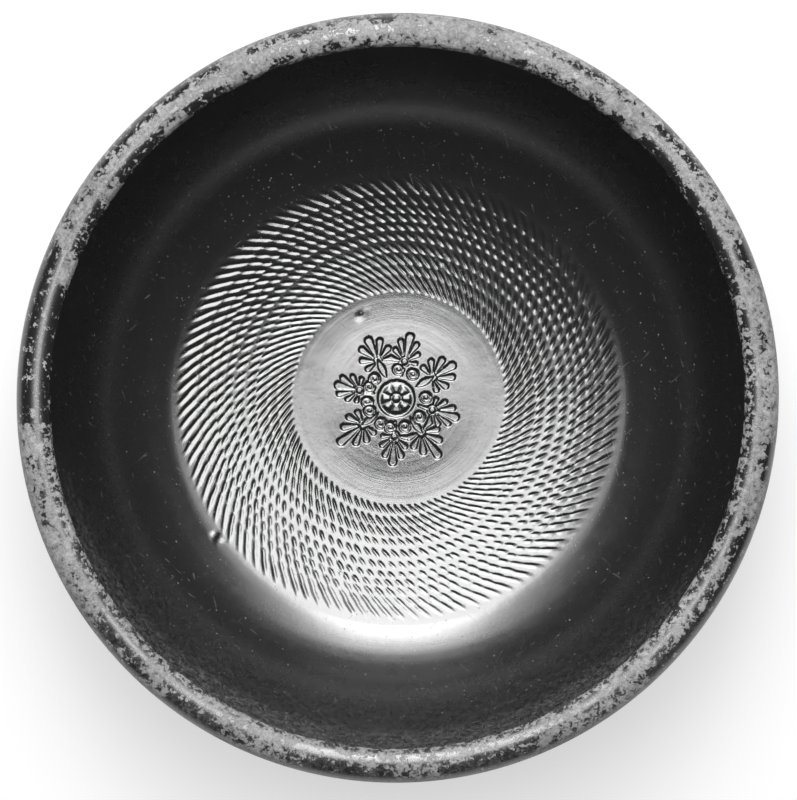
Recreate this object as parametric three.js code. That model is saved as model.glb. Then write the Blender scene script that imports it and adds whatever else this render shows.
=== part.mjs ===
import * as THREE from 'three';
import { mergeVertices } from 'three/addons/utils/BufferGeometryUtils.js';

// A wheel-thrown black-gloss bowl with an outturned rolled lip on a separately thrown ring foot.
// Millimetres, +Z up, with the origin at the centre of the plane that the foot rests on.

// Driving sizes of the lip and the wall.
const lipDiameter = 220;
const bowlHeight = 64;
const lipRollRadius = 5.7;
const lipInnerWidth = 3.7;
const lipUndercutAngle = 75;
const wallThickness = 4.6;
const wallTopSlope = 72;
const ovalStretch = 0.65;
const ovalDirection = 75;

// Driving sizes of the floor, from its slight dome in the middle out to the knee of the wall.
const floorThickness = 6.2;
const domeRise = 0.8;
const lowestRingRadius = 21.4;
const bandOuterRadius = 65.7;
const floorEdgeSlope = 10;
const kneeRadius = 70;
const kneeSlope = 22;

// Driving sizes of the turned underside inside the foot.
const recessDepth = 9;
const nippleRadius = 9;
const nippleDrop = 1.4;

// Driving sizes of the ring foot and of its hollowed resting surface.
const footDiameter = 125;
const footHeight = 10.4;
const footSwellHeight = 3.6;
const footToeInset = 2.1;
const footTopInset = 2.5;
const footTopWidth = 8.5;
const restWidth = 5.6;
const restGrooveWidth = 2.4;
const restGrooveDepth = 0.8;

// Driving sizes of the luted joint: a scored seat on both pieces and a layer of slip between them.
const slipThickness = 0.9;
const jointClearance = 0.3;
const slipSetback = 0.4;
const scoreCount = 2;
const scoreWidth = 1.4;
const scoreDepth = 0.5;
const scrapeWidth = 1.3;
const scrapeRise = 1.2;

// How finely the round forms are cut into facets.
const turnFacets = 48;
const lipSteps = [4, 6, 3];
const wallSteps = 11;
const floorSteps = 5;
const domeSteps = 4;
const kneeSteps = 2;
const undersideSteps = 7;
const swellSteps = 4;

// Sizes that follow from the driving ones.
const lipCrestRadius = lipDiameter / 2 - lipRollRadius;
const lipCentreHeight = bowlHeight - lipRollRadius;
const arrisRadius = lipCrestRadius - lipInnerWidth;
const arrisHeight = lipCentreHeight + Math.sqrt(lipRollRadius ** 2 - lipInnerWidth ** 2);
const footTopRadius = footDiameter / 2 - footTopInset;
const footBoreRadius = footTopRadius - footTopWidth;
const slipBottom = footHeight + jointClearance;
const slipTop = slipBottom + slipThickness;
const bodySeatHeight = slipTop + jointClearance;
const floorHeight = undersideHeight(lowestRingRadius) + floorThickness;

function point(radius, height) {
  return new THREE.Vector2(radius, height);
}

function slope(degrees) {
  return THREE.MathUtils.degToRad(degrees);
}

// The underside inside the foot: a shallow dish with a small nipple left in the middle by turning.
function undersideHeight(radius) {
  const dish = (bodySeatHeight - recessDepth) * (radius / footBoreRadius) ** 2;
  const nipple = nippleDrop * Math.max(0, 1 - radius / nippleRadius) ** 2;
  return recessDepth + dish - nipple;
}

// An arc of the profile that bends upwards from one slope to a steeper one, between two radii.
function risingArc(start, endRadius, startSlope, endSlope, steps) {
  const from = slope(startSlope);
  const to = slope(endSlope);
  const arcRadius = (endRadius - start.x) / (Math.sin(to) - Math.sin(from));
  const points = [];
  for (let step = 1; step <= steps; step += 1) {
    const angle = THREE.MathUtils.lerp(from, to, step / steps);
    const along = arcRadius * (Math.sin(angle) - Math.sin(from));
    const up = arcRadius * (Math.cos(from) - Math.cos(angle));
    points.push(point(start.x + along, start.y + up));
  }
  return points;
}

// The inside of the floor, from the middle out: a slight dome, the lowest ring, and a gentle rise.
function floorProfile() {
  const points = [];
  for (let step = 0; step <= domeSteps; step += 1) {
    const radius = lowestRingRadius * step / domeSteps;
    const swell = (1 + Math.cos(Math.PI * step / domeSteps)) / 2;
    points.push(point(radius, floorHeight + domeRise * swell));
  }
  points.push(...risingArc(points.at(-1), bandOuterRadius, 0, floorEdgeSlope, floorSteps));
  points.push(...risingArc(points.at(-1), kneeRadius, floorEdgeSlope, kneeSlope, kneeSteps));
  return points;
}

// The inside of the wall sweeps from the knee up to the arris under the lip.
function wallCurve(knee) {
  const arris = point(arrisRadius, arrisHeight);
  const reach = knee.distanceTo(arris) * 0.4;
  const low = point(Math.cos(slope(kneeSlope)), Math.sin(slope(kneeSlope)));
  const high = point(Math.cos(slope(wallTopSlope)), Math.sin(slope(wallTopSlope)));
  return new THREE.CubicBezierCurve(
    knee,
    low.multiplyScalar(reach).add(knee),
    high.multiplyScalar(-reach).add(arris),
    arris,
  );
}

// The outside of the wall lies one thickness away, and the wall thins towards the lip.
function outerWall(curve) {
  const lipBottom = lipCentreHeight - lipRollRadius;
  const points = [];
  for (let step = 0; step <= wallSteps; step += 1) {
    const along = step / wallSteps;
    const inside = curve.getPoint(along);
    const tangent = curve.getTangent(along);
    const thickness = THREE.MathUtils.lerp(floorThickness, wallThickness, along);
    const outside = point(inside.x + tangent.y * thickness, inside.y - tangent.x * thickness);
    if (outside.y < lipBottom) {
      points.push(outside);
    }
  }
  return points;
}

// The rolled lip runs from its undercut to the outer edge, over the crest, to the arris inside.
function lipProfile() {
  const arrisAngle = Math.acos(-lipInnerWidth / lipRollRadius);
  const corners = [-slope(lipUndercutAngle), 0, Math.PI / 2, arrisAngle];
  const points = [];
  for (let stretch = 0; stretch < lipSteps.length; stretch += 1) {
    for (let step = 0; step < lipSteps[stretch]; step += 1) {
      const share = step / lipSteps[stretch];
      const angle = THREE.MathUtils.lerp(corners[stretch], corners[stretch + 1], share);
      const across = lipRollRadius * Math.cos(angle);
      const up = lipRollRadius * Math.sin(angle);
      points.push(point(lipCrestRadius + across, lipCentreHeight + up));
    }
  }
  return points;
}

// A seat of the luted joint, from the inner edge out, with its concentric scored grooves or ridges.
function scoredSeat(innerRadius, outerRadius, height, depth) {
  const points = [point(innerRadius, height)];
  const spacing = footTopWidth / (scoreCount + 1);
  for (let score = 1; score <= scoreCount; score += 1) {
    const middle = footBoreRadius + spacing * score;
    points.push(point(middle - scoreWidth / 2, height));
    points.push(point(middle, height + depth));
    points.push(point(middle + scoreWidth / 2, height));
  }
  points.push(point(outerRadius, height));
  return points;
}

// Turns a profile into one closed solid: outer faces run upwards, from the bottom of the section.
function turned(profile) {
  const lathe = new THREE.LatheGeometry(profile, turnFacets);
  lathe.deleteAttribute('normal');
  lathe.deleteAttribute('uv');
  lathe.rotateX(Math.PI / 2);
  const solid = mergeVertices(lathe, 0.0001);
  const corners = solid.index.array;
  const kept = [];
  for (let first = 0; first < corners.length; first += 3) {
    const [a, b, c] = corners.slice(first, first + 3);
    if (a !== b && b !== c && c !== a) {
      kept.push(a, b, c);
    }
  }
  solid.setIndex(kept);
  return solid;
}

// The bowl dried a little out of round: the lip is oval, and the floor stayed true on its foot.
function pullOval(solid) {
  const place = solid.attributes.position;
  const kneeHeight = floorProfile().at(-1).y;
  for (let corner = 0; corner < place.count; corner += 1) {
    const x = place.getX(corner);
    const y = place.getY(corner);
    const share = THREE.MathUtils.smoothstep(place.getZ(corner), kneeHeight, bowlHeight);
    const turn = Math.atan2(y, x) - slope(ovalDirection);
    const radius = Math.hypot(x, y);
    const stretch = radius > 0 ? 1 + share * ovalStretch * Math.cos(2 * turn) / radius : 1;
    place.setXY(corner, x * stretch, y * stretch);
  }
  return solid;
}

// The thrown body: underside, seat, outer wall, lip, inner wall and floor in one piece of clay.
function bowlBody() {
  const floor = floorProfile();
  const wall = wallCurve(floor.at(-1));
  const profile = [];
  for (let step = 0; step < undersideSteps; step += 1) {
    const radius = footBoreRadius * step / undersideSteps;
    profile.push(point(radius, undersideHeight(radius)));
  }
  profile.push(...scoredSeat(footBoreRadius, footTopRadius, bodySeatHeight, scoreDepth));
  profile.push(point(footTopRadius + scrapeWidth, bodySeatHeight + scrapeRise));
  profile.push(...outerWall(wall));
  profile.push(...lipProfile());
  profile.push(...wall.getPoints(wallSteps).reverse());
  profile.push(...floor.reverse().slice(1));
  return pullOval(turned(profile));
}

// The ring foot: a swelling outer face, a scored top and a resting surface hollowed by a groove.
function footRing() {
  const toeRadius = footDiameter / 2 - footToeInset;
  const grooveMiddle = toeRadius - restWidth / 2;
  const profile = [
    point(toeRadius - restWidth, 0),
    point(grooveMiddle - restGrooveWidth / 2, 0),
    point(grooveMiddle, restGrooveDepth),
    point(grooveMiddle + restGrooveWidth / 2, 0),
    point(toeRadius, 0),
  ];
  for (let step = 1; step <= swellSteps; step += 1) {
    const angle = Math.PI / 2 * step / swellSteps;
    profile.push(point(toeRadius + footToeInset * Math.sin(angle), footSwellHeight * (1 - Math.cos(angle))));
  }
  for (let step = 1; step <= swellSteps; step += 1) {
    const angle = Math.PI / 2 * step / swellSteps;
    const inset = footTopInset * (1 - Math.cos(angle));
    const height = footSwellHeight + (footHeight - footSwellHeight) * Math.sin(angle);
    profile.push(point(footDiameter / 2 - inset, height));
  }
  const top = scoredSeat(footBoreRadius, footTopRadius, footHeight, -scoreDepth);
  profile.push(...top.reverse().slice(1));
  profile.push(profile[0].clone());
  return turned(profile);
}

// The layer of liquid clay that lutes the foot to the body, with ridges that fill the scored grooves.
function lutingSlip() {
  const inner = footBoreRadius + slipSetback;
  const outer = footTopRadius - slipSetback;
  const below = scoredSeat(inner, outer, slipBottom, -scoreDepth);
  const above = scoredSeat(inner, outer, slipTop, scoreDepth);
  const profile = [...below, ...above.reverse()];
  profile.push(profile[0].clone());
  return turned(profile);
}

// One named piece of the bowl.
function piece(name, geometry, color, roughness) {
  const material = new THREE.MeshStandardMaterial({ color, roughness, metalness: 0 });
  const mesh = new THREE.Mesh(geometry, material);
  mesh.name = name;
  return mesh;
}

const group = new THREE.Group();
group.add(piece('bowl_body', bowlBody(), 0x1c1c1c, 0.25));
group.add(piece('foot_ring', footRing(), 0x1c1c1c, 0.3));
group.add(piece('luting_slip', lutingSlip(), 0xa8a8a8, 0.85));

export default group;
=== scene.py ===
import math
import random

import bmesh
import bpy
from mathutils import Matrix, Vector


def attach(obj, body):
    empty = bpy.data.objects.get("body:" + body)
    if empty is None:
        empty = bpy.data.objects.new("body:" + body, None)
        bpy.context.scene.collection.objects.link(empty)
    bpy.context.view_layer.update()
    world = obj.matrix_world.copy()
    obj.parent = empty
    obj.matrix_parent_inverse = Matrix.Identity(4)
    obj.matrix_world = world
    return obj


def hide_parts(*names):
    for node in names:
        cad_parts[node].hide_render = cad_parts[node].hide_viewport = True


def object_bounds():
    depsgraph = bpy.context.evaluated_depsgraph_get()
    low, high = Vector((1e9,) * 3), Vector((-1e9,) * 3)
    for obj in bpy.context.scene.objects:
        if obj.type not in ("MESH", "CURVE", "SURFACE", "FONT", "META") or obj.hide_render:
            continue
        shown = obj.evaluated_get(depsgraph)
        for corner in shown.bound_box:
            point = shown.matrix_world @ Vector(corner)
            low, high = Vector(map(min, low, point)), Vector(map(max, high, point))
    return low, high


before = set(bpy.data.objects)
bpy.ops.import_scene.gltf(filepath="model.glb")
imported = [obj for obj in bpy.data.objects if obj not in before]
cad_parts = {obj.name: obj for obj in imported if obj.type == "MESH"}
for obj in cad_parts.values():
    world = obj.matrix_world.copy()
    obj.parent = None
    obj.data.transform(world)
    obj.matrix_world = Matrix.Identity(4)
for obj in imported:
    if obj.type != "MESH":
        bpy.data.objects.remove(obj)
cad_low, cad_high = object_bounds()

# The table top and the light that the bowl stands in.
# A pale matt board lies under the foot. Three soft lamps hang high on the far side, one before
# another, and a fourth stands low there. Their sheen shows the slopes of the floor and the near wall.
MM = 0.001
TABLE_SIDE = 6.0
TABLE_DROP = 0.05 * MM
TABLE_TONE = 0.86
TABLE_PALENESS = 0.62
ROOM_TONE = 0.05

# The name of each lamp, its turn about +Z and its height in degrees, its distance from the bowl,
# its width and depth in metres, and its radiance.
LAMPS = (
    ("wide_window", 92, 66, 1.8, 1.7, 1.7, 2.0),
    ("middle_window", 91, 65, 1.7, 0.74, 1.55, 7.2),
    ("bright_window", 90, 56, 1.6, 0.6, 0.55, 4.4),
    ("low_window", 90, 13, 1.9, 1.2, 0.35, 1.1),
)

# The places of a Mix node's colour sockets. Their names are the same for every type of data.
MIX_FIRST = 6
MIX_SECOND = 7
MIX_RESULT = 2


class Number:
    """A number that changes over a surface, with the sums that are made on it."""

    def __init__(self, finish, socket):
        self.finish = finish
        self.socket = socket

    def sum(self, operation, *others):
        sockets = dict(enumerate((self,) + others))
        return self.finish.node("ShaderNodeMath", {"operation": operation}, sockets)[0]

    def __add__(self, other):
        return self.sum("ADD", other)

    def __sub__(self, other):
        return self.sum("SUBTRACT", other)

    def __rsub__(self, other):
        return (self * -1) + other

    def __mul__(self, other):
        return self.sum("MULTIPLY", other)

    def __truediv__(self, other):
        return self.sum("DIVIDE", other)

    def __pow__(self, other):
        return self.sum("POWER", other)

    __radd__ = __add__
    __rmul__ = __mul__

    def above(self, low, high):
        """0 below low, 1 above high, and a smooth step between them."""
        settings = {"interpolation_type": "SMOOTHSTEP"}
        sockets = {"Value": self, "From Min": low, "From Max": high}
        return self.finish.node("ShaderNodeMapRange", settings, sockets)["Result"]

    def most(self, other):
        return self.sum("MAXIMUM", other)

    def least(self, other):
        return self.sum("MINIMUM", other)


class Outputs:
    """The outputs of one node, by name or by place."""

    def __init__(self, finish, node):
        self.finish = finish
        self.node = node

    def __getitem__(self, name):
        return Number(self.finish, self.node.outputs[name])


def grey(level):
    return (level, level, level, 1.0)


def set_stops(ramp, stops):
    """Sets a ramp's stops, each a place and a grey level. Each level holds until the next stop."""
    ramp.interpolation = "CONSTANT"
    ramp.elements.remove(ramp.elements[-1])
    ramp.elements[0].position = stops[0][0]
    ramp.elements[0].color = grey(stops[0][1])
    for place, level in stops[1:]:
        ramp.elements.new(place).color = grey(level)


class Finish:
    """The nodes of one material."""

    def __init__(self, name):
        self.material = bpy.data.materials.new(name)
        self.material.use_nodes = True
        self.tree = self.material.node_tree
        self.tree.nodes.clear()

    def node(self, kind, settings=None, sockets=None):
        node = self.tree.nodes.new(kind)
        for name, value in (settings or {}).items():
            if name == "stops":
                set_stops(node.color_ramp, value)
            else:
                setattr(node, name, value)
        for name, value in (sockets or {}).items():
            if isinstance(value, Number):
                self.tree.links.new(value.socket, node.inputs[name])
            else:
                node.inputs[name].default_value = value
        return Outputs(self, node)

    def place(self):
        return self.node("ShaderNodeTexCoord")["Object"]

    def noise(self, vector, scale, detail=3.0, roughness=0.5, distortion=0.0):
        """A noise from 0 to 1. Its scale is in grains a metre, where the vector is a place."""
        sockets = {
            "Vector": vector,
            "Scale": scale,
            "Detail": detail,
            "Roughness": roughness,
            "Distortion": distortion,
        }
        return self.node("ShaderNodeTexNoise", {}, sockets)["Fac"]

    def mix(self, factor, first, second):
        """A colour between two."""
        sockets = {"Factor": factor, MIX_FIRST: first, MIX_SECOND: second}
        return self.node("ShaderNodeMix", {"data_type": "RGBA"}, sockets)[MIX_RESULT]

    def bump(self, height, strength, distance):
        sockets = {"Height": height, "Strength": strength, "Distance": distance}
        return self.node("ShaderNodeBump", {}, sockets)["Normal"]

    def shader(self, sockets):
        return self.node("ShaderNodeBsdfPrincipled", {}, sockets)["BSDF"]

    def blend(self, factor, first, second):
        """A shader between two."""
        return self.node("ShaderNodeMixShader", {}, {0: factor, 1: first, 2: second})["Shader"]

    def surface(self, shader):
        self.node("ShaderNodeOutputMaterial", {}, {"Surface": shader})
        return self.material


def add_object(name, bm):
    mesh = bpy.data.meshes.new(name)
    bm.to_mesh(mesh)
    bm.free()
    thing = bpy.data.objects.new(name, mesh)
    bpy.context.scene.collection.objects.link(thing)
    return thing


def add_lamp(name, turn, height, distance, width, depth, radiance):
    """A soft rectangular lamp that faces the bowl."""
    lamp = bpy.data.lights.new(name, "AREA")
    lamp.shape = "RECTANGLE"
    lamp.size = width
    lamp.size_y = depth
    lamp.energy = radiance * math.pi * width * depth
    thing = bpy.data.objects.new(name, lamp)
    turn, height = math.radians(turn), math.radians(height)
    level = math.cos(height)
    away = Vector((math.cos(turn) * level, math.sin(turn) * level, math.sin(height)))
    thing.location = away * distance
    thing.rotation_mode = "QUATERNION"
    thing.rotation_quaternion = away.to_track_quat("Z", "Y")
    thing.visible_camera = False
    bpy.context.scene.collection.objects.link(thing)


table_mesh = bmesh.new()
bmesh.ops.create_grid(table_mesh, x_segments=1, y_segments=1, size=TABLE_SIDE / 2)
bmesh.ops.translate(table_mesh, verts=table_mesh.verts, vec=(0, 0, -TABLE_DROP))
table = add_object("table_top", table_mesh)
pale_board = Finish("pale_board")
board = pale_board.shader({"Base Color": grey(TABLE_TONE), "Roughness": 0.9, "Specular IOR Level": 0.1})
paper = pale_board.node("ShaderNodeEmission", {}, {"Color": grey(1.0), "Strength": 1.0})["Emission"]
seen = pale_board.node("ShaderNodeLightPath")["Is Camera Ray"] * TABLE_PALENESS
table.data.materials.append(pale_board.surface(pale_board.blend(seen, board, paper)))

for lamp_values in LAMPS:
    add_lamp(*lamp_values)

world = bpy.data.worlds.new("dim_room")
world.use_nodes = True
world.node_tree.nodes["Background"].inputs["Color"].default_value = grey(ROOM_TONE)
bpy.context.scene.world = world
bpy.context.scene.view_settings.view_transform = "Standard"

# The camera looks down into the bowl from 1.3 m above its lip.
# It stands a little to one side of the axis, as the floor's shift inside the lip shows.
# The lip's scale is in pixels a millimetre, and its middle and the photo's in pixels.
LIP_SCALE = 3.498
LIP_MIDDLE = (397.3, 397.6)
PHOTO_LONG_SIDE = 800
PHOTO_MIDDLE = (398.5, 400.0)
CAMERA_ABOVE_LIP = 1.3
CAMERA_ASIDE = (0.0108, -0.0054)
SENSOR_WIDTH = 36.0

lip_plane = cad_high.z
camera_data = bpy.data.cameras.new("camera")
camera_data.sensor_width = SENSOR_WIDTH
camera_data.lens = SENSOR_WIDTH * CAMERA_ABOVE_LIP / (PHOTO_LONG_SIDE / LIP_SCALE * MM)
camera = bpy.data.objects.new("camera", camera_data)
camera.location = (CAMERA_ASIDE[0], CAMERA_ASIDE[1], lip_plane + CAMERA_ABOVE_LIP)
aim_x = (PHOTO_MIDDLE[0] - LIP_MIDDLE[0]) / LIP_SCALE * MM
aim_y = (LIP_MIDDLE[1] - PHOTO_MIDDLE[1]) / LIP_SCALE * MM
aim = Vector((aim_x, aim_y, lip_plane)) - camera.location
camera.rotation_mode = "QUATERNION"
camera.rotation_quaternion = Vector((0, 0, -1)).rotation_difference(aim)
bpy.context.scene.collection.objects.link(camera)
bpy.context.scene.camera = camera

# The thrown body: one lump of clay, turned outside, with a rolled lip.
# Its profile is drawn from the underside out and up to the lip, and down the inside to the middle.
# Its sizes are in millimetres and degrees.
LIP_RADIUS = 110.0
HEIGHT = 64.0
LIP_ROLL = 5.7
LIP_INNER = 3.7
UNDERCUT = 75.0
WALL_THICKNESS = 4.6
WALL_TOP_SLOPE = 72.0
WALL_SWEEP = 0.4
OVAL_STRETCH = 0.65
OVAL_DIRECTION = 75.0
FLOOR_THICKNESS = 6.2
DOME_RISE = 0.04
LOWEST_RING = 21.4
BAND_OUTER = 65.7
FLOOR_EDGE_SLOPE = 10.0
KNEE_RADIUS = 70.0
KNEE_SLOPE = 22.0
RECESS = 9.0
NIPPLE_RADIUS = 9.0
NIPPLE_DROP = 1.4
SEAT_HEIGHT = 11.9
SEAT_OUTER = 60.0
SEAT_INNER = 51.5
SCRAPE_WIDTH = 1.3
SCRAPE_RISE = 1.2

CREST = LIP_RADIUS - LIP_ROLL
LIP_CENTRE = HEIGHT - LIP_ROLL
ARRIS = CREST - LIP_INNER
ARRIS_HEIGHT = LIP_CENTRE + math.sqrt(LIP_ROLL**2 - LIP_INNER**2)
ARRIS_ANGLE = math.degrees(math.acos(-LIP_INNER / LIP_ROLL))

# How fine the mesh is. The floor's rows run from one radius to another, that far apart, and lie
# close together where nicks and stamps are cut. There its columns are divided as well.
BODY_COLUMNS = 216
BAND_CUTS = 2
STAMP_CUTS = 1
UNDERSIDE_STEP = 3.2
OUTER_WALL_STEPS = 24
INNER_WALL_STEPS = 27
LIP_STEPS = (9, 7.5, 7)
BAND_MESH = (32.0, 66.0)
STAMP_MESH = (11.0, 23.2)
FLOOR_ROWS = (
    (KNEE_RADIUS, BAND_MESH[1], 0.8),
    (BAND_MESH[1], BAND_MESH[0], 0.5),
    (BAND_MESH[0], STAMP_MESH[1], 0.8),
    (STAMP_MESH[1], 0, 0.262),
)
RING_MARGIN = 0.1
LEVEL_MARGIN = 0.02
FLOOR_SKIN = 1
MERGE_DISTANCE = 0.001


def underside_height(radius):
    dish = (SEAT_HEIGHT - RECESS) * (radius / SEAT_INNER) ** 2
    nipple = NIPPLE_DROP * max(0.0, 1 - radius / NIPPLE_RADIUS) ** 2
    return RECESS + dish - nipple


LOWEST_HEIGHT = underside_height(LOWEST_RING) + FLOOR_THICKNESS


def arc_height(radius, start, end, start_height, slopes):
    """Height of an arc that bends from one slope to a steeper one between two radii."""
    low, high = (math.sin(math.radians(slope)) for slope in slopes)
    arc = (end - start) / (high - low)
    along = low + (radius - start) / arc
    return start_height + arc * (math.sqrt(1 - low**2) - math.sqrt(1 - along**2))


def band_height(radius):
    return arc_height(radius, LOWEST_RING, BAND_OUTER, LOWEST_HEIGHT, (0, FLOOR_EDGE_SLOPE))


def edge_height(radius):
    slopes = (FLOOR_EDGE_SLOPE, KNEE_SLOPE)
    return arc_height(radius, BAND_OUTER, KNEE_RADIUS, band_height(BAND_OUTER), slopes)


KNEE_HEIGHT = edge_height(KNEE_RADIUS)


def floor_height(radius):
    if radius < LOWEST_RING:
        return LOWEST_HEIGHT + DOME_RISE * (1 + math.cos(math.pi * radius / LOWEST_RING)) / 2
    if radius < BAND_OUTER:
        return band_height(radius)
    return edge_height(radius)


def wall_point(share):
    """A point of the inner wall and its direction, from the knee at 0 to the arris at 1."""
    knee = Vector((KNEE_RADIUS, KNEE_HEIGHT))
    arris = Vector((ARRIS, ARRIS_HEIGHT))
    reach = (arris - knee).length * WALL_SWEEP
    low, high = math.radians(KNEE_SLOPE), math.radians(WALL_TOP_SLOPE)
    first = knee + Vector((math.cos(low), math.sin(low))) * reach
    second = arris - Vector((math.cos(high), math.sin(high))) * reach
    rest = 1 - share
    point = knee * rest**3 + first * 3 * rest**2 * share
    point += second * 3 * rest * share**2
    point += arris * share**3
    along = (first - knee) * rest**2 + (second - first) * 2 * rest * share + (arris - second) * share**2
    return point, along.normalized()


def spaced(start, end, step):
    """Even steps from start, about that far apart, up to but not including the end."""
    count = max(1, round(abs(end - start) / step))
    return [start + (end - start) * number / count for number in range(count)]


def underside_points():
    points = [(radius, underside_height(radius)) for radius in spaced(0, SEAT_INNER, UNDERSIDE_STEP)]
    points += [(SEAT_INNER, SEAT_HEIGHT), (SEAT_OUTER, SEAT_HEIGHT)]
    return points + [(SEAT_OUTER + SCRAPE_WIDTH, SEAT_HEIGHT + SCRAPE_RISE)]


def outer_wall_points():
    """The outside of the wall, one thickness away from its inside, up to the lip."""
    points = []
    for share in spaced(0, 1, 1 / OUTER_WALL_STEPS):
        point, along = wall_point(share)
        thickness = FLOOR_THICKNESS + (WALL_THICKNESS - FLOOR_THICKNESS) * share
        outside = (point.x + along.y * thickness, point.y - along.x * thickness)
        if outside[1] < LIP_CENTRE - LIP_ROLL:
            points.append(outside)
    return points


def lip_points():
    """The rolled lip, from its undercut to the outer edge, over the crest, to the arris inside."""
    corners = (-UNDERCUT, 0, 90, ARRIS_ANGLE)
    points = []
    for start, end, step in zip(corners, corners[1:], LIP_STEPS):
        for angle in spaced(start, end, step):
            turn = math.radians(angle)
            points.append((CREST + LIP_ROLL * math.cos(turn), LIP_CENTRE + LIP_ROLL * math.sin(turn)))
    return points


def inside_points():
    """The inner wall from the arris down, and the floor to its middle."""
    points = [tuple(wall_point(share)[0]) for share in spaced(1, 0, 1 / INNER_WALL_STEPS)]
    for rows in FLOOR_ROWS:
        points += [(radius, floor_height(radius)) for radius in spaced(*rows)]
    return points + [(0, floor_height(0))]


def spun(profile, columns):
    """Spins a profile of radius and height, in millimetres, about the bowl's axis."""
    bm = bmesh.new()
    line = [bm.verts.new((radius * MM, 0, height * MM)) for radius, height in profile]
    edges = [bm.edges.new(pair) for pair in zip(line, line[1:])]
    bmesh.ops.spin(
        bm,
        geom=line + edges,
        cent=(0, 0, 0),
        axis=(0, 0, 1),
        angle=2 * math.pi,
        steps=columns,
        use_merge=True,
    )
    bmesh.ops.remove_doubles(bm, verts=bm.verts, dist=MERGE_DISTANCE * MM)
    bmesh.ops.recalc_face_normals(bm, faces=bm.faces)
    return bm


def shade_smooth(bm):
    for face in bm.faces:
        face.smooth = True


def from_middle(vert):
    """How far a vertex is from the bowl's axis, in millimetres."""
    return math.hypot(vert.co.x, vert.co.y) / MM


def on_floor(vert):
    radius = from_middle(vert)
    return radius < KNEE_RADIUS and vert.co.z / MM > floor_height(radius) - FLOOR_SKIN


def refine(bm, inner, outer, cuts):
    """Divides the rings of the floor between two radii into more columns."""
    edges = []
    for edge in bm.edges:
        first, second = edge.verts
        radius = from_middle(first)
        level = abs(from_middle(second) - radius) < LEVEL_MARGIN
        if inner < radius < outer and level and on_floor(first) and on_floor(second):
            edges.append(edge)
    bmesh.ops.subdivide_edges(bm, edges=edges, cuts=cuts, use_grid_fill=True)


# The rouletting: a springy blade held against the turning floor cut rows of short leaf-shaped nicks.
# They run in one spiral from the floor's edge towards the middle, between a closed outer and inner row.
# TURN_RADII has the spiral's radius at each full turn, from FIRST_TURN on.
TURN_RADII = (65.8, 61.6, 58.3, 55.7, 53.3, 50.6, 47.5, 43.9, 40.7, 37.7, 34.7, 31.8)
FIRST_TURN = -5
LAST_TURN = 5.6
SPIRAL_START = FIRST_TURN + 0.1

# The number of nicks in a turn of the spiral, up to each of these turns.
STRANDS = ((-2.3, 112), (-0.2, 106), (2.2, 103), (9, 99))

# The closed rows' inner and outer radius, and the number of their nicks.
OUTER_ROW = (61.4, 65.8, 112)
INNER_ROW = (32.3, 34.6, 99)

# Between these turns the nicks are shorter, and plain floor shows between the rows.
SPACED_TURNS = (-1.3, 2.0)
SPACED_START = 0.14
SPACED_LENGTH = 0.64

# A nick is blunt at its inner end and tapers to its outer one, with a level bed and soft banks.
NICK_TILT = 45.0
NICK_FILL = 0.26
NICK_DEPTH = 0.21
NICK_BLUNTNESS = 0.32
NICK_TAPER = 0.7
NICK_FULLNESS = 0.57
NICK_BED = 1.3
NICK_BANK = 1.25
NICK_BANK_SLOPE = 1.3

# The nicks differ a little in depth and place. Each row of the spiral starts elsewhere in their list.
LUCK_SEED = 7
LUCK_COUNT = 2048
LUCK_DEPTHS = (0.75, 1.1)
LUCK_SHIFTS = (-0.07, 0.07)
ROW_SHIFT = 131

random.seed(LUCK_SEED)
nick_luck = [(random.uniform(*LUCK_DEPTHS), random.uniform(*LUCK_SHIFTS)) for _ in range(LUCK_COUNT)]


def turn_at(radius):
    """The turn that the spiral is in where it passes a radius."""
    for number, (outer, inner) in enumerate(zip(TURN_RADII, TURN_RADII[1:])):
        if radius > inner:
            return FIRST_TURN + number + (outer - radius) / (outer - inner)


def nick(count, share, spacing, row=0):
    """Depth of a nick, at a place along its row in nicks and a share of the way out across the row."""
    number = round(count)
    luck, shift = nick_luck[(number + row) % len(nick_luck)]
    across = spacing * math.cos(math.radians(NICK_TILT))
    aside = (count - number + shift) * across
    leaf = max(0.0, share) ** NICK_BLUNTNESS * max(0.0, 1 - share) ** NICK_TAPER / NICK_FULLNESS
    half = NICK_FILL * across * leaf
    if half <= 0 or abs(aside) >= half * NICK_BANK:
        return 0.0
    bank = math.cos(aside / half / NICK_BANK * math.pi / 2) ** NICK_BANK_SLOPE
    return NICK_DEPTH * luck * min(1.0, leaf * NICK_BED) * bank


def strand_count(radius, angle, strands):
    """The place among the slanting strands that the nicks of neighbouring rows line up in."""
    return strands * (angle - math.log(radius)) / (2 * math.pi)


def row_depth(radius, angle, row):
    inner, outer, strands = row
    share = (radius - inner) / (outer - inner)
    if not 0 < share < 1:
        return 0.0
    return nick(strand_count(radius, angle, strands), share, 2 * math.pi * radius / strands)


def roulette_depth(radius, angle):
    if not TURN_RADII[-1] < radius < TURN_RADII[0]:
        return 0.0
    round_part = (angle / (2 * math.pi)) % 1.0
    turns = turn_at(radius)
    outer_line = math.floor(turns - round_part) + round_part
    deepest = max(row_depth(radius, angle, OUTER_ROW), row_depth(radius, angle, INNER_ROW))
    if SPIRAL_START <= outer_line and outer_line + 1 < LAST_TURN:
        share = 1 - (turns - outer_line)
        strands = next(strands for last, strands in STRANDS if outer_line < last)
        count = strand_count(radius, angle, strands)
        row = math.floor(outer_line)
        if SPACED_TURNS[0] < outer_line < SPACED_TURNS[1]:
            share = (share - SPACED_START) / SPACED_LENGTH
        deepest = max(deepest, nick(count, share, 2 * math.pi * radius / strands, row * ROW_SHIFT))
    return deepest


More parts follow.
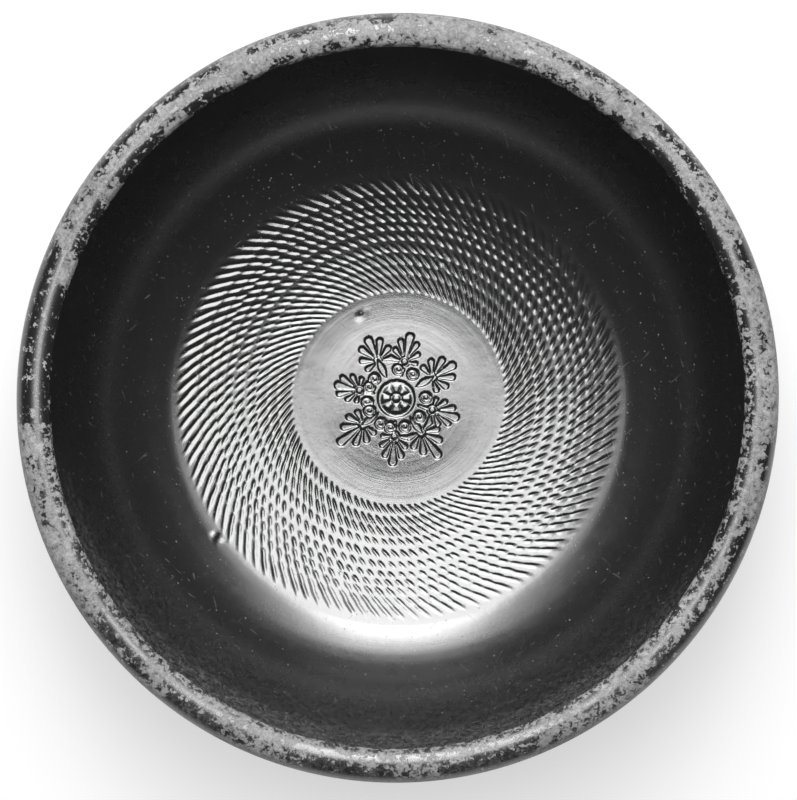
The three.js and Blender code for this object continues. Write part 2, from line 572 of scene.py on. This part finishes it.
# The stamps: palmettes pressed one by one into the damp floor, round a small round medallion.
# Four are full fans on a long leaf, and four are narrower fans on a raised bead.
# Scrolls lie at their feet.
STAMP_MIDDLE = (-0.7, -0.1)
STAMP_REACH = 23.5
STAMP_DEPTH = 0.34
STAMP_SOFTNESS = 0.17

# Each fan's turn in degrees and its reach from the middle, and whether it is a full one.
FANS = (
    (30.4, 20.4, True),
    (77.4, 19.9, False),
    (115.6, 20.2, True),
    (167.1, 18.8, False),
    (218.0, 22.0, True),
    (266.8, 20.0, False),
    (306.5, 21.8, True),
    (342.4, 19.5, False),
)

# How far a fan can spread to either side, in degrees, and how near the middle it can begin.
FAN_SPREAD = 62
FAN_START = 5

# The middle petal, and the pairs beside it: turn, start, end, and half widths at the start and end.
MIDDLE_PETAL_START = 1.6
MIDDLE_PETAL_HALF_WIDTHS = (0.45, 1.2)
FULL_FAN_ROOT = 12.4
FULL_FAN_PETALS = ((30, 1.8, 5.8, 0.4, 0.98), (64, 1.6, 4.7, 0.36, 0.92), (103, 1.5, 3.9, 0.34, 0.84))
NARROW_FAN_ROOT = 11.2
NARROW_FAN_PETALS = ((23, 2.4, 6.1, 0.35, 0.85), (50, 1.9, 4.4, 0.34, 0.78), (88, 1.7, 3.3, 0.3, 0.7))

# A thin ridge is left where two petals meet.
RIDGE_START = -0.12
RIDGE_WIDTH = 0.22

# The leaf that a full fan grows from, and the ring and short leaf under a narrow one.
LONG_LEAF_MIDDLE = -2.6
LONG_LEAF_HALF_LENGTH = 3.0
LONG_LEAF_HALF_WIDTH = 0.95
BEAD_RING_RADIUS = 1.25
BEAD_RING_HALF_WIDTH = 0.32
SHORT_LEAF = (180, 2.0, 4.2, 0.55, 0.3)

# The scrolls lie on one ring, and a coiled ridge stands in each round its eye.
SCROLL_TURNS = (2, 56, 86, 138, 157, 187, 204, 238, 258, 287, 322)
SCROLL_RING = 8.7
SCROLL_RADIUS = 1.8
SCROLL_CLEARING = 0.2
SCROLL_PITCH = 0.95
SCROLL_RIDGE_WIDTH = 0.22
SCROLL_RIDGE_HEIGHT = 0.85
SCROLL_EYE_RADIUS = 0.35
SCROLL_EYE_RIDGE = 0.6

# The medallion is a sunk disc with a rosette of raised petals round a bead.
MEDALLION_RADIUS = 5.5
MEDALLION_MARGIN = 0.4
MEDALLION_DEPTH = 0.34
MEDALLION_RIM = 0.35
MEDALLION_PETALS = 8
PETAL_RELIEF = 0.27
PETAL_BREADTH = 0.45
PETAL_START = 1.5
PETAL_END = 4.6
PETAL_START_SLOPE = 0.5
PETAL_END_SLOPE = 0.8
MEDALLION_BEAD_RADIUS = 1.25


def clamped(value):
    return min(max(value, 0), 1)


def eased(value):
    """0 below 0, 1 above 1, and a smooth step between them."""
    share = clamped(value)
    return share * share * (3 - 2 * share)


def leaf_gap(x, y, turn, start, end, start_width, end_width):
    """Distance to a leaf that points away from a root at a turn, and swells towards its round tip."""
    angle = math.radians(turn)
    along = x * math.cos(angle) + y * math.sin(angle)
    aside = y * math.cos(angle) - x * math.sin(angle)
    share = clamped((along - start) / (end - start))
    from_spine = math.hypot(along - start - share * (end - start), aside)
    return from_spine - start_width - share * (end_width - start_width)


def fan_gap(x, y, reach, full):
    """Distance to the outline of a fan that lies along X, below 0 inside it."""
    root = FULL_FAN_ROOT if full else NARROW_FAN_ROOT
    petals = FULL_FAN_PETALS if full else NARROW_FAN_PETALS
    x -= root
    tip = reach - root - MIDDLE_PETAL_HALF_WIDTHS[1]
    gap = leaf_gap(x, y, 0, MIDDLE_PETAL_START, tip, *MIDDLE_PETAL_HALF_WIDTHS)
    for petal in petals:
        other = leaf_gap(x, abs(y), *petal)
        ridge = max(0.0, RIDGE_WIDTH - abs(gap - other) / 2)
        gap = min(gap, other)
        if gap <= RIDGE_START:
            gap += ridge
    if full:
        along = abs(x - LONG_LEAF_MIDDLE) / LONG_LEAF_HALF_LENGTH
        half_width = LONG_LEAF_HALF_WIDTH * max(0.0, 1 - along**2)
        return min(gap, abs(y) - half_width + max(0.0, along - 1) * LONG_LEAF_HALF_LENGTH)
    gap = min(gap, abs(math.hypot(x, y) - BEAD_RING_RADIUS) - BEAD_RING_HALF_WIDTH)
    return min(gap, leaf_gap(x, y, *SHORT_LEAF))


def press(gap):
    """0 outside a stamped outline and 1 inside it, with a soft edge."""
    return eased(0.5 - gap / (2 * STAMP_SOFTNESS))


def scroll_press(x, y):
    reach = math.hypot(x, y)
    if reach > SCROLL_RADIUS + STAMP_SOFTNESS:
        return 0.0
    winding = (reach / SCROLL_PITCH - math.atan2(y, x) / (2 * math.pi)) % 1.0
    ridge = SCROLL_EYE_RIDGE
    if reach > SCROLL_EYE_RADIUS:
        ridge = max(0.0, 1 - abs(winding - 0.5) / SCROLL_RIDGE_WIDTH)
    return press(reach - SCROLL_RADIUS) * (1 - SCROLL_RIDGE_HEIGHT * ridge)


def medallion_depth(x, y):
    reach = math.hypot(x, y)
    if reach > MEDALLION_RADIUS + MEDALLION_MARGIN:
        return 0.0
    rim = clamped((MEDALLION_RADIUS - reach) / MEDALLION_RIM + 0.5)
    turn = math.atan2(y, x) * MEDALLION_PETALS / 2
    outer_end = clamped((PETAL_END - reach) / PETAL_END_SLOPE)
    inner_end = clamped((reach - PETAL_START) / PETAL_START_SLOPE)
    petal = abs(math.cos(turn)) ** PETAL_BREADTH * outer_end * inner_end
    bead = max(0.0, 1 - (reach / MEDALLION_BEAD_RADIUS) ** 2) ** 0.5
    return MEDALLION_DEPTH * rim - PETAL_RELIEF * max(petal, bead)


def fan_press(reach, turn):
    pressed = 0.0
    for fan_turn, fan_reach, full in FANS:
        off = (turn - fan_turn + 180) % 360 - 180
        if abs(off) < FAN_SPREAD and reach > FAN_START:
            angle = math.radians(off)
            gap = fan_gap(reach * math.cos(angle), reach * math.sin(angle), fan_reach, full)
            pressed = max(pressed, press(gap))
    return pressed


def stamp_depth(x, y):
    x -= STAMP_MIDDLE[0]
    y -= STAMP_MIDDLE[1]
    reach = math.hypot(x, y)
    if reach > STAMP_REACH:
        return 0.0
    pressed = fan_press(reach, math.degrees(math.atan2(y, x)) % 360)
    for scroll_turn in SCROLL_TURNS:
        angle = math.radians(scroll_turn)
        scroll_x = x - SCROLL_RING * math.cos(angle)
        scroll_y = y - SCROLL_RING * math.sin(angle)
        if math.hypot(scroll_x, scroll_y) < SCROLL_RADIUS + SCROLL_CLEARING:
            pressed = scroll_press(scroll_x, scroll_y)
    medallion = medallion_depth(x, y)
    return max(STAMP_DEPTH * pressed, medallion) if reach > MEDALLION_RADIUS else medallion


# The clay's small faults: a pimple with a hollow beside it at the edge of the floor, and a dent.
# Each has a radius, a turn in degrees, a size and a depth, which is below 0 where the clay stands up.
FAULTS = (
    (67.6, 216.6, 1.5, -0.36),
    (68.0, 218.4, 1.4, 0.2),
    (26.9, 115.6, 1.2, 0.25),
    (27.5, 110.0, 0.9, -0.08),
)


def fault_depth(radius, angle):
    depth = 0.0
    for middle, turn, size, deep in FAULTS:
        off = (angle - math.radians(turn) + math.pi) % (2 * math.pi) - math.pi
        away = math.hypot(radius - middle, off * middle) / size
        depth += deep * max(0.0, 1 - away**2) ** 2
    return depth


def cut_floor(bm):
    """Turns the floor's rows until its columns slant as the nicks do, and sinks the ornament in it."""
    for vert in bm.verts:
        if on_floor(vert):
            radius = from_middle(vert)
            angle = math.atan2(vert.co.y, vert.co.x)
            angle += math.log(min(max(radius, BAND_MESH[0]), BAND_MESH[1]) / BAND_MESH[1])
            x, y = radius * math.cos(angle), radius * math.sin(angle)
            depth = roulette_depth(radius, angle) + stamp_depth(x, y) + fault_depth(radius, angle)
            vert.co = (x * MM, y * MM, vert.co.z - depth * MM)


def pull_oval(bm):
    """The bowl dried a little out of round: the lip is oval, and the floor stayed true."""
    for vert in bm.verts:
        radius = from_middle(vert)
        share = eased((vert.co.z / MM - KNEE_HEIGHT) / (HEIGHT - KNEE_HEIGHT))
        if radius > 0:
            turn = math.atan2(vert.co.y, vert.co.x) - math.radians(OVAL_DIRECTION)
            stretch = 1 + share * OVAL_STRETCH * math.cos(2 * turn) / radius
            vert.co.x *= stretch
            vert.co.y *= stretch


body_profile = underside_points() + outer_wall_points() + lip_points() + inside_points()
bowl_mesh = spun(body_profile, BODY_COLUMNS)
refine(bowl_mesh, TURN_RADII[-1], KNEE_RADIUS - RING_MARGIN, BAND_CUTS)
refine(bowl_mesh, STAMP_MESH[0], STAMP_MESH[1] + RING_MARGIN, STAMP_CUTS)
cut_floor(bowl_mesh)
pull_oval(bowl_mesh)
shade_smooth(bowl_mesh)
bowl = add_object("bowl_body_fine", bowl_mesh)

# Pale streaks high on the near wall and under its lip are a painted sheen, where the wall faces the
# lamps.
# The finish of the body: black gloss, fired hard, over grey clay.
# Handling has worn it off the lip in patches, and left pits, specks and scratches elsewhere.
# The wear is listed round the lip: a turn in degrees, and how worn the gloss is from there on.
OUTER_WEAR = (
    (0, 0.9), (19, 0.15), (24.5, 0.75), (36, 0.35), (46, 0.8), (56, 0.5), (59, 0.75), (70, 0.95),
    (90, 0.6), (113.5, 1.0), (117, 0.4), (142, 0.85), (155.5, 0.2), (159.5, 0.1), (184, 0.85),
    (216, 0.45), (227, 0.7), (231, 0.05), (241, 0.7), (252, 0.12), (270, 0.6), (276, 0.1),
    (290, 0.65), (312, 0.15), (339, 0.9), (347, 0.2), (352, 0.9),
)
CREST_WEAR = (
    (0, 0.85), (19, 0.7), (47, 0.9), (59, 0.8), (70, 0.95), (90, 0.75), (113.5, 1.0), (117, 0.75),
    (142, 0.85), (155.5, 0.4), (160, 0.3), (184, 0.8), (216, 0.35), (225, 0.7), (231, 0.45),
    (240, 0.75), (252, 0.5), (270, 0.65), (276, 0.5), (290, 0.7), (312, 0.6), (339, 0.85), (347, 0.75),
)
INNER_WEAR = (
    (0, 0.5), (18, 0.2), (47, 0.9), (50, 0.2), (53, 0.55), (70, 0.8), (75, 0.2), (77, 0.8), (90, 0.6),
    (109, 0.2), (111, 0.6), (114, 1.0), (117, 0.5), (119.5, 0.25), (126, 0.9), (131, 0.15),
    (141, 0.8), (145, 0.35), (155.5, 0.9), (161, 0.15), (183, 0.6), (216, 0.55), (240, 0.65),
    (270, 0.55), (300, 0.6), (330, 0.5), (345, 0.5),
)

# Where the zones of the finish begin and end, in metres from the axis.
OUTSIDE_CREST = (0.1062, 0.1068)
INSIDE_CREST = (0.1026, 0.1032)
OUTER_HALF = (0.1035, 0.1045)
ROUND_KNEE = (0.060, 0.068)
UPPER_WALL = (0.084, 0.094)
UNDER_LIP = (0.0950, 0.0985)
ROUGHER_WALL = (0.064, 0.074)

# The lip's zones in metres above the table, and how far off the axis the near side begins, where the
# sheen is painted.
LIP_SIDE = (0.0535, 0.0550)
LIP_TOP = (0.0607, 0.0614)
NEAR_SIDE = (-0.075, -0.02)

# The levels of noise at which each kind of flaw, and the painted sheen, begins and is full.
# The size of a speck is a share of its cell.
WEAR_EDGE = (0.46, 0.66)
SPECK_SIZE = (0.06, 0.20)
SPECK_SHARE = (0.72, 0.80)
DUST_GRAIN = (0.66, 0.71)
DUST_SHARE = (0.66, 0.78)
SCRATCH_EDGE = (0.74, 0.79)
PAINTED_WALL_SHEEN = (0.35, 0.75)
PAINTED_LIP_SHEEN = (0.42, 0.62)

# Scratches run three ways, turned in radians, in a noise whose grains are 0.9 mm by 8 mm.
SCRATCH_TURNS = (0.9, 2.3, 3.4)
SCRATCH_SIZE = (0.0009, 0.008, 0.008)

GLOSS_TONE = 0.011
GLOSS_ROUGHNESS = 0.16
GLOSS_IOR = 1.9
WALL_ROUGHNESS = 0.12
CLAY_DARK = 0.07
CLAY_PALE = 0.44

gloss = Finish("black_gloss")
spot = gloss.place()
split = gloss.node("ShaderNodeSeparateXYZ", {}, {0: spot})
east, north, height = split["X"], split["Y"], split["Z"]
from_axis = (east * east + north * north) ** 0.5
coarse = gloss.noise(spot, 260, 6, 0.65)
fine = gloss.noise(spot, 1400, 4, 0.7)
broad = gloss.noise(spot, 45, 3, 0.5)
blotch = gloss.noise(spot, 620, 5, 0.6, 0.6)
turn = north.sum("ARCTAN2", east) / (2 * math.pi)
turn = (turn + 1 + (coarse - 0.5) * 0.016).sum("FRACT")


def worn(levels):
    stops = [(degrees / 360, level) for degrees, level in levels]
    return gloss.node("ShaderNodeValToRGB", {"stops": stops}, {"Fac": turn})["Color"]


ragged = (coarse - 0.5) * 0.004
reach = from_axis + ragged
level = gloss.mix(reach.above(*OUTSIDE_CREST), worn(CREST_WEAR), worn(OUTER_WEAR))
level = gloss.mix(1 - reach.above(*INSIDE_CREST), level, worn(INNER_WEAR))
outer_half = from_axis.above(*OUTER_HALF) * (height + ragged).above(*LIP_SIDE)
lip = (height + ragged * 0.3).above(*LIP_TOP).most(outer_half)
mottle = (coarse - 0.5) * 2.2 + (blotch - 0.5) * 2.6 + (fine - 0.5) * 1.4
wear = (level + mottle).above(*WEAR_EDGE) * lip

specks = gloss.node("ShaderNodeTexVoronoi", {}, {"Vector": spot, "Scale": 520})
speck_share = (gloss.noise(spot, 330, 1) + broad * 0.4).above(*SPECK_SHARE)
speck = (1 - specks["Distance"].above(*SPECK_SIZE)) * speck_share
by_knee = from_axis.above(*ROUND_KNEE) * (1 - from_axis.above(*UPPER_WALL))
dust = fine.above(*DUST_GRAIN) * (coarse * 0.6 + broad * 0.7 + by_knee * 0.16).above(*DUST_SHARE)
scratch = 0
for scratch_turn in SCRATCH_TURNS:
    sockets = {"Vector": spot, "Rotation": (0, 0, scratch_turn), "Scale": SCRATCH_SIZE}
    stretched = gloss.node("ShaderNodeMapping", {"vector_type": "TEXTURE"}, sockets)["Vector"]
    scratch = gloss.noise(stretched, 1, 1, 0.5, 0.4).above(*SCRATCH_EDGE) + scratch
# Painted sheen: pale streaks along the turning, high on the near wall and under its lip, which face the
# lamps. They stand in for the lamps' shine in the gloss.
painted_sheen_grain_place = {"X": turn * 3.2, "Z": height + from_axis}
painted_sheen_grain = gloss.noise(gloss.node("ShaderNodeCombineXYZ", {}, painted_sheen_grain_place)["Vector"], 300, 4, 0.7)
painted_sheen_wall = from_axis.above(*UPPER_WALL) * (1 - (north + east * 0.15).above(*NEAR_SIDE))
painted_sheen_lip = painted_sheen_wall * from_axis.above(*UNDER_LIP)
painted_sheen = painted_sheen_wall * painted_sheen_grain.above(*PAINTED_WALL_SHEEN) * 0.16 + painted_sheen_lip * painted_sheen_grain.above(*PAINTED_LIP_SHEEN) * 0.3
# The pale marks are the real specks, scratches, dust and wear, together with the painted sheen.
pale = (speck * 0.6).most(scratch * 0.2).most(dust * 0.6).most(painted_sheen).most(wear)

clay_tone = (coarse - 0.5) * 1.1 + (broad - 0.5) * 0.5 + (fine - 0.5) * 0.9 + (blotch - 0.5) * 1.6 + 0.45
clay_color = gloss.mix(clay_tone.least(1).most(0), grey(CLAY_DARK), grey(CLAY_PALE))
clay_bump = gloss.bump(coarse + fine * 0.8, 0.7, 0.0004)
clay = gloss.shader(
    {"Base Color": clay_color, "Roughness": 0.62, "Specular IOR Level": 0.4, "Normal": clay_bump}
)

rings_place = gloss.node("ShaderNodeCombineXYZ", {}, {"X": from_axis, "Z": height})["Vector"]
rings = gloss.noise(rings_place, 420, 3, 0.6) + gloss.noise(rings_place, 2600, 2, 0.6) * 0.22
gloss_bump = gloss.bump(rings * 0.5 + broad * 1.2 + coarse * 0.25 + fine * 0.12, 0.5, 0.00012)
gloss_roughness = GLOSS_ROUGHNESS + from_axis.above(*ROUGHER_WALL) * WALL_ROUGHNESS
gloss_roughness += (coarse - 0.5) * 0.1 + (broad - 0.5) * 0.06
shine = gloss.shader(
    {
        "Base Color": grey(GLOSS_TONE),
        "Roughness": gloss_roughness,
        "IOR": GLOSS_IOR,
        "Normal": gloss_bump,
    }
)
bowl.data.materials.append(gloss.surface(gloss.blend(pale, shine, clay)))
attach(bowl, "root")
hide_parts("bowl_body")

# The ring foot: thrown by itself and turned, with a swelling outer face and a groove under it.
# It is glossed like the body, but the surface that it rests on was left bare, and is rubbed smooth.
FOOT_RADIUS = 62.5
FOOT_HEIGHT = 10.4
FOOT_SWELL_HEIGHT = 3.6
FOOT_TOE_INSET = 2.1
FOOT_TOP_INSET = FOOT_RADIUS - SEAT_OUTER
FOOT_COLUMNS = 216
REST_WIDTH = 5.6
GROOVE_WIDTH = 2.4
GROOVE_DEPTH = 0.8
CORNER = 0.25
BORE_STEPS = 12
BORE_BOW = 0.35
BARE_HEIGHT = (0.0006, 0.0009)
CHIP_SHARE = (0.66, 0.70)
FOOT_GLOSS_TONE = 0.018
FOOT_CLAY_DARK = 0.2
FOOT_CLAY_PALE = 0.48


def resting_points():
    """The surface that the foot rests on, from its heel across the groove to its toe."""
    toe = FOOT_RADIUS - FOOT_TOE_INSET
    middle = toe - REST_WIDTH / 2
    heel = toe - REST_WIDTH
    points = [(heel, CORNER), (heel + CORNER, 0)]
    for turn_degrees in range(180, -1, -20):
        angle = math.radians(turn_degrees)
        points.append((middle + GROOVE_WIDTH / 2 * math.cos(angle), GROOVE_DEPTH * math.sin(angle)))
    return points + [(toe - CORNER, 0)]


def swell_points():
    """The outer face: a tight curve up from the toe to the widest ring, and a slower one to the top."""
    toe = FOOT_RADIUS - FOOT_TOE_INSET
    points = []
    for turn_degrees in range(8, 91, 6):
        angle = math.radians(turn_degrees)
        rise = FOOT_SWELL_HEIGHT * (1 - math.cos(angle))
        points.append((toe + FOOT_TOE_INSET * math.sin(angle), rise))
    for turn_degrees in range(6, 85, 6):
        angle = math.radians(turn_degrees)
        inset = FOOT_TOP_INSET * (1 - math.cos(angle))
        rise = (FOOT_HEIGHT - FOOT_SWELL_HEIGHT) * math.sin(angle)
        points.append((FOOT_RADIUS - inset, FOOT_SWELL_HEIGHT + rise))
    return points


def bore_points():
    """The top, and the inside of the ring, which bows in a little on its way down to the heel."""
    heel = FOOT_RADIUS - FOOT_TOE_INSET - REST_WIDTH
    points = [(SEAT_OUTER - CORNER, FOOT_HEIGHT), (SEAT_INNER + CORNER, FOOT_HEIGHT)]
    points.append((SEAT_INNER, FOOT_HEIGHT - CORNER))
    for number in range(1, BORE_STEPS):
        share = number / BORE_STEPS
        bow = BORE_BOW * math.sin(math.pi * share)
        height = (FOOT_HEIGHT - CORNER) * (1 - share) + CORNER * share
        points.append((SEAT_INNER + (heel - SEAT_INNER) * share - bow, height))
    return points


foot_profile = resting_points() + swell_points() + bore_points()
foot_mesh = spun(foot_profile + foot_profile[:1], FOOT_COLUMNS)
shade_smooth(foot_mesh)
foot = add_object("foot_ring_fine", foot_mesh)

foot_gloss = Finish("foot_gloss")
spot = foot_gloss.place()
height = foot_gloss.node("ShaderNodeSeparateXYZ", {}, {0: spot})["Z"]
coarse = foot_gloss.noise(spot, 260, 5, 0.65)
fine = foot_gloss.noise(spot, 1300, 4, 0.7)
bare = 1 - (height + (coarse - 0.5) * 0.0035).above(*BARE_HEIGHT)
chipped = (coarse + (fine - 0.5) * 0.5).above(*CHIP_SHARE)
clay_tone = (coarse - 0.5) * 1.4 + (fine - 0.5) + 0.5
clay_color = foot_gloss.mix(clay_tone.least(1).most(0), grey(FOOT_CLAY_DARK), grey(FOOT_CLAY_PALE))
foot_bump = foot_gloss.bump(coarse + fine * 0.4, 0.4, 0.0002)
foot_roughness = 0.26 + (coarse - 0.5) * 0.15
shine = foot_gloss.shader(
    {
        "Base Color": grey(FOOT_GLOSS_TONE),
        "Roughness": foot_roughness,
        "IOR": GLOSS_IOR,
        "Normal": foot_bump,
    }
)
clay = foot_gloss.shader(
    {"Base Color": clay_color, "Roughness": 0.75, "Specular IOR Level": 0.3, "Normal": foot_bump}
)
foot_surface = foot_gloss.blend(bare.most(chipped * 0.9), shine, clay)
foot.data.materials.append(foot_gloss.surface(foot_surface))
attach(foot, "root")
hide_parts("foot_ring")

# The slip that lutes the foot to the body: liquid clay, squeezed out a little and wiped round.
# It fills the whole joint, so that no gap shows, and it was left bare of gloss.
SLIP_BITE = 0.05
SLIP_LOW = FOOT_HEIGHT - SLIP_BITE
SLIP_HIGH = SEAT_HEIGHT + SLIP_BITE
SLIP_SETBACK = 0.25
SLIP_BULGE = 0.3
SLIP_COLUMNS = 144
SLIP_DARK = 0.22
SLIP_PALE = 0.5


def slip_profile():
    inner, outer = SEAT_INNER + SLIP_SETBACK, SEAT_OUTER - SLIP_SETBACK
    half = (SLIP_HIGH - SLIP_LOW) / 2
    points = [(inner, SLIP_LOW), (outer, SLIP_LOW)]
    for turn_degrees in range(-60, 61, 30):
        angle = math.radians(turn_degrees)
        points.append((outer + SLIP_BULGE * math.cos(angle), SLIP_LOW + half + half * math.sin(angle)))
    points += [(outer, SLIP_HIGH), (inner, SLIP_HIGH)]
    return points + points[:1]


slip_mesh = spun(slip_profile(), SLIP_COLUMNS)
shade_smooth(slip_mesh)
slip = add_object("luting_slip_fine", slip_mesh)

bare_clay = Finish("bare_clay")
grain = bare_clay.noise(bare_clay.place(), 700, 5, 0.7)
slip_color = bare_clay.mix(grain, grey(SLIP_DARK), grey(SLIP_PALE))
slip_bump = bare_clay.bump(grain, 0.6, 0.0002)
slip_surface = bare_clay.shader(
    {"Base Color": slip_color, "Roughness": 0.85, "Specular IOR Level": 0.25, "Normal": slip_bump}
)
slip.data.materials.append(bare_clay.surface(slip_surface))
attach(slip, "root")
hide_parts("luting_slip")
